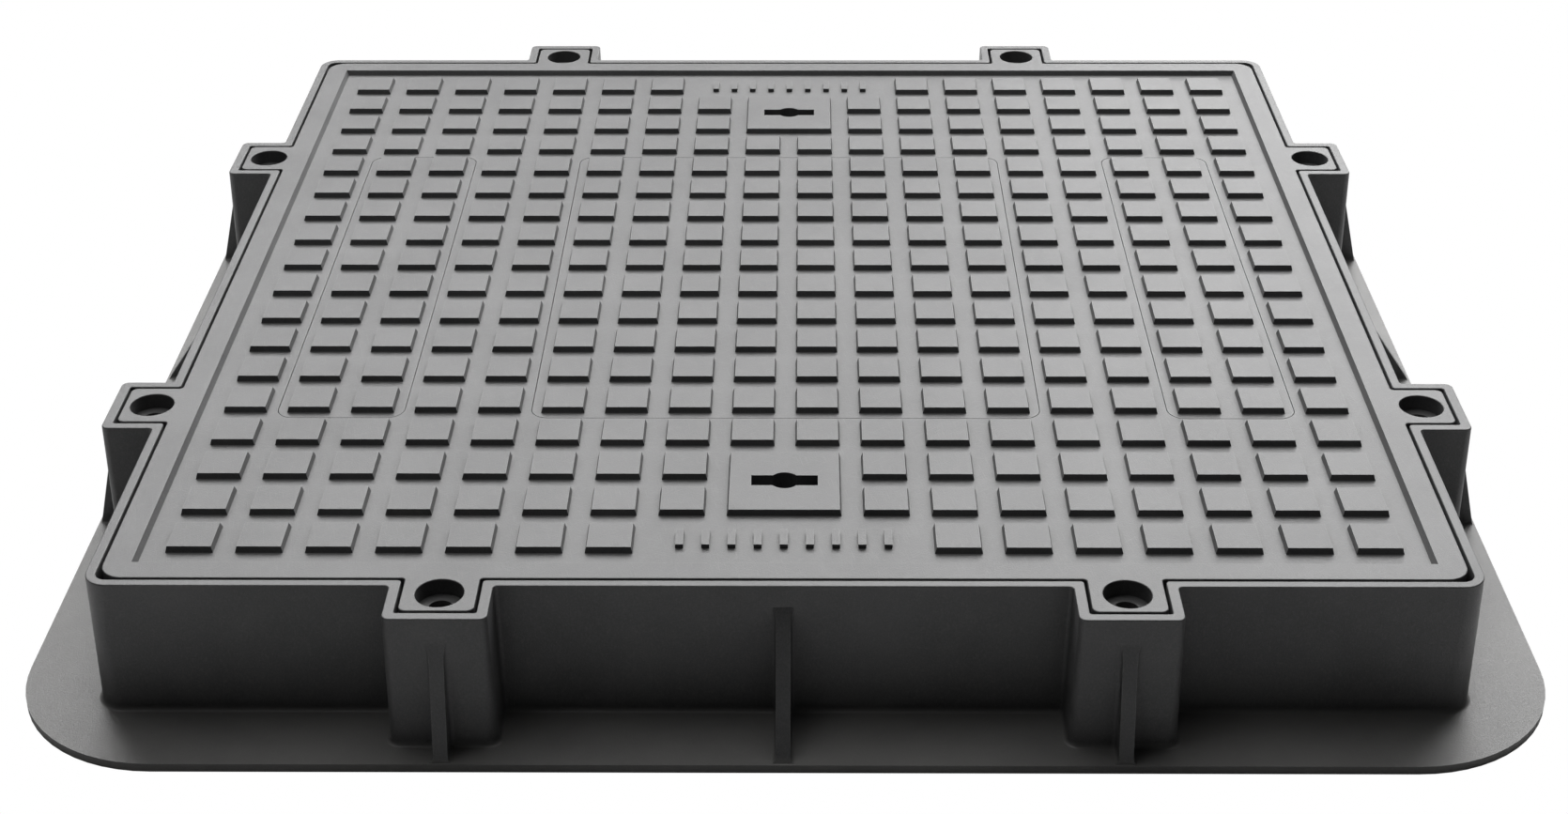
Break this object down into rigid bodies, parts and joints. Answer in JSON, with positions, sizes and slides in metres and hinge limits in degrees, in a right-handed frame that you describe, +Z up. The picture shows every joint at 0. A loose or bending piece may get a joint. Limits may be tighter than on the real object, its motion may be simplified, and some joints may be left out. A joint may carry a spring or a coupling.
{
  "type": "manhole cover and frame",
  "caption": "Square access cover with a studded tread, bolted lugs and keyholes, seated in a deep frame with a wide bottom flange and outside gussets.",
  "frame": {"origin": "middle of the frame's bottom face", "axes": "+Z up, out of the tread; +X to the right and +Y to the back, square to the sides"},
  "size_m": [0.98, 0.98, 0.1],
  "materials": {
    "frame_composite": "satin, fine grained moulded glass-fibre composite",
    "cover_composite": "satin, fine grained moulded glass-fibre composite",
    "panel_composite": "satin, fine grained moulded glass-fibre composite",
    "seal_rubber": "matt EPDM rubber",
    "insert_brass": "turned brass, dull",
    "strike_steel": "pickled stainless steel",
    "pot_plastic": "black injection-moulded plastic",
    "screw_steel": "stainless steel"
  },
  "bodies": {
    "frame": {"frame": "frame_composite", "seat_seal": "seal_rubber", "threaded_insert_front_left": "insert_brass", "threaded_insert_front_right": "insert_brass", "threaded_insert_back_left": "insert_brass", "threaded_insert_back_right": "insert_brass", "threaded_insert_left_front": "insert_brass", "threaded_insert_left_back": "insert_brass", "threaded_insert_right_front": "insert_brass", "threaded_insert_right_back": "insert_brass"},
    "cover": {"cover": "cover_composite", "centre_tread_panel": "panel_composite", "left_tread_panel": "panel_composite", "right_tread_panel": "panel_composite", "strike_plate_front": "strike_steel", "strike_plate_back": "strike_steel", "key_pot_front": "pot_plastic", "key_pot_back": "pot_plastic", "key_pot_screws_front": "screw_steel", "key_pot_screws_back": "screw_steel"}
  },
  "joints": [
    {"name": "cover_lift", "type": "slide", "parent": "frame", "child": "cover", "axis": [0, 0, 1], "range_m": [0, 0.12]}
  ]
}
